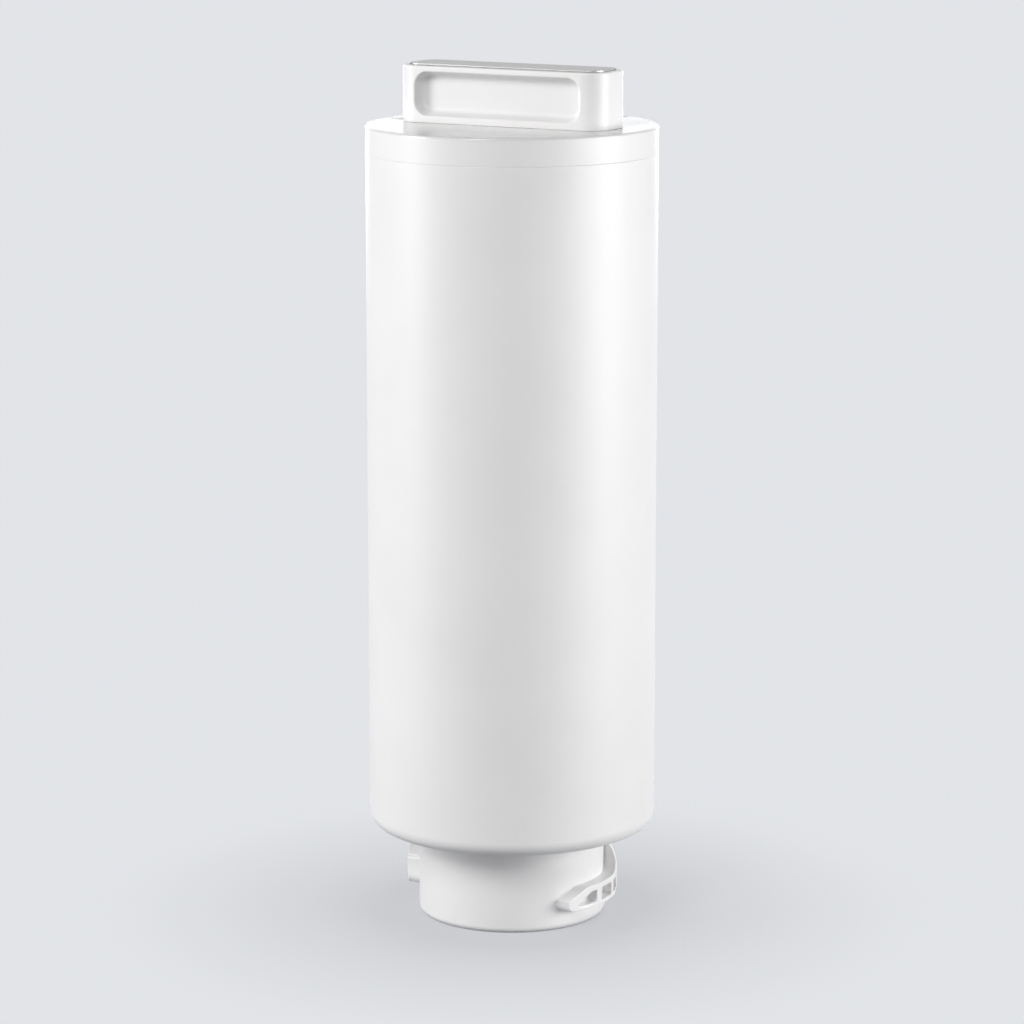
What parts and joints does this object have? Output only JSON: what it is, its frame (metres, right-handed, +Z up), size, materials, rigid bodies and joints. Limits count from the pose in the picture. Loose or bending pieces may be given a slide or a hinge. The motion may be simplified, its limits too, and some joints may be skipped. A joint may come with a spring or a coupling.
{
  "type": "reverse osmosis filter cartridge",
  "caption": "Tall round sealed cartridge with a twist-in bayonet neck, concentric water ports and a grip on its cap.",
  "frame": {"origin": "middle of the neck's rim, on which the cartridge stands", "axes": "+Z up along the cartridge from neck to grip; the grip lies along X; the bayonet's tall stops lie near +X and -X"},
  "size_m": [0.11, 0.11, 0.327],
  "materials": {
    "white_polypropylene": "satin, very fine moulded grain",
    "natural_polypropylene": "smooth as moulded",
    "black_rubber": "smooth",
    "stainless_steel": "plain",
    "silver_film": "fine brushed, satin",
    "membrane": "wound net and membrane",
    "wrap_tape": "smooth tape"
  },
  "bodies": {
    "root": {"barrel": "white_polypropylene", "top_cap": "white_polypropylene", "grip": "white_polypropylene", "grip_inlay": "silver_film", "grip_screws": "stainless_steel", "port_stem": "natural_polypropylene", "feed_ring": "black_rubber", "concentrate_ring": "black_rubber", "permeate_ring_lower": "black_rubber", "permeate_ring_upper": "black_rubber", "socket_ring": "black_rubber", "tube_ring": "black_rubber", "plug_ring": "black_rubber", "flange_ring": "black_rubber", "lower_end_cap": "natural_polypropylene", "upper_end_cap": "natural_polypropylene", "permeate_tube": "natural_polypropylene", "tube_plug": "natural_polypropylene", "membrane_roll": "membrane", "roll_wrap": "wrap_tape"}
  },
  "joints": []
}
